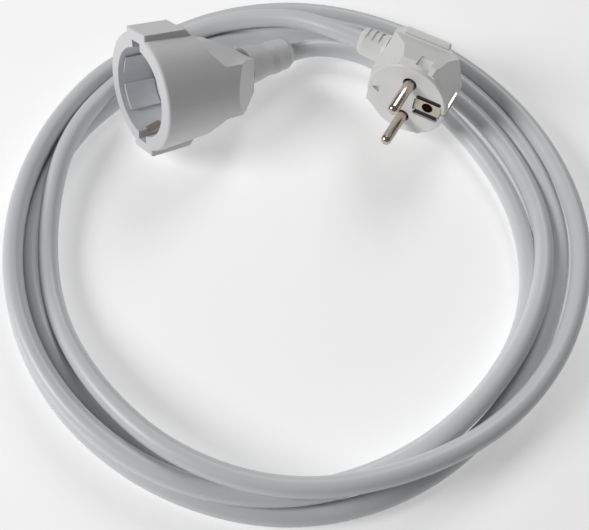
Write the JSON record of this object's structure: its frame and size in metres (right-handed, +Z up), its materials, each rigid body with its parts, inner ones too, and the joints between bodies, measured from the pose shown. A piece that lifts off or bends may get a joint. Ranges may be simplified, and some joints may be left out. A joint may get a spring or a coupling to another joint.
{
  "type": "extension cord",
  "caption": "White earthed mains extension cord in a loose coil, with a right-angle two-pin plug at one end and a round trailing socket with a shutter at the other.",
  "frame": {"origin": "on the surface that the cord lies on, under the middle of the box round the plug and the trailing socket", "axes": "+X from the socket towards the plug, +Y away from the middle of the coil, +Z up"},
  "size_m": [0.2532, 0.2532, 0.0584],
  "materials": {
    "plug_white": "moulded soft PVC, satin",
    "socket_white": "moulded plastic, fine satin",
    "socket_inner": "moulded plastic, satin",
    "inner_plastic": "plain moulded nylon",
    "bridge_black": "black glass-filled nylon",
    "cord_white": "extruded PVC sheath, satin",
    "nickel": "nickel-plated brass, drawn and polished",
    "brass": "bare rolled brass",
    "copper_crimp": "tinned crimp",
    "spring_steel": "spring steel",
    "core_brown": "brown insulation",
    "core_blue": "light blue insulation",
    "core_green_yellow": "green and yellow insulation"
  },
  "bodies": {
    "cord_set": {"plug_body": "plug_white", "plug_bridge": "bridge_black", "plug_strain_relief": "plug_white", "plug_pin_live": "nickel", "plug_pin_neutral": "nickel", "plug_earth_plate": "nickel", "plug_earth_tube": "brass", "plug_side_contact_outer": "nickel", "plug_side_contact_inner": "nickel", "plug_ferrule_live": "copper_crimp", "plug_ferrule_neutral": "copper_crimp", "plug_ferrule_earth": "copper_crimp", "plug_core_live": "core_brown", "plug_core_neutral": "core_blue", "plug_core_earth": "core_green_yellow", "socket_shell": "socket_white", "socket_insert": "socket_inner", "socket_shutter_spring": "spring_steel", "socket_carrier": "inner_plastic", "socket_contact_live": "brass", "socket_contact_neutral": "brass", "socket_earth_clip": "nickel", "socket_ferrule_live": "copper_crimp", "socket_ferrule_neutral": "copper_crimp", "socket_ferrule_earth": "copper_crimp", "socket_core_live": "core_brown", "socket_core_neutral": "core_blue", "socket_core_earth": "core_green_yellow", "socket_strain_relief": "socket_white", "cord_plug_end": "cord_white", "cord_socket_end": "cord_white", "cord_coil": "cord_white"},
    "shutter": {"socket_shutter": "inner_plastic"}
  },
  "joints": [
    {"name": "shutter_turn", "type": "hinge", "parent": "cord_set", "child": "shutter", "pos_m": [-0.04451, -0.00115, 0.02494], "axis": [-0.7994, -0.5152, 0.309], "range_deg": [0, 48], "stiffness_Nm_per_rad": 0.002, "springref_deg": -11.46}
  ]
}
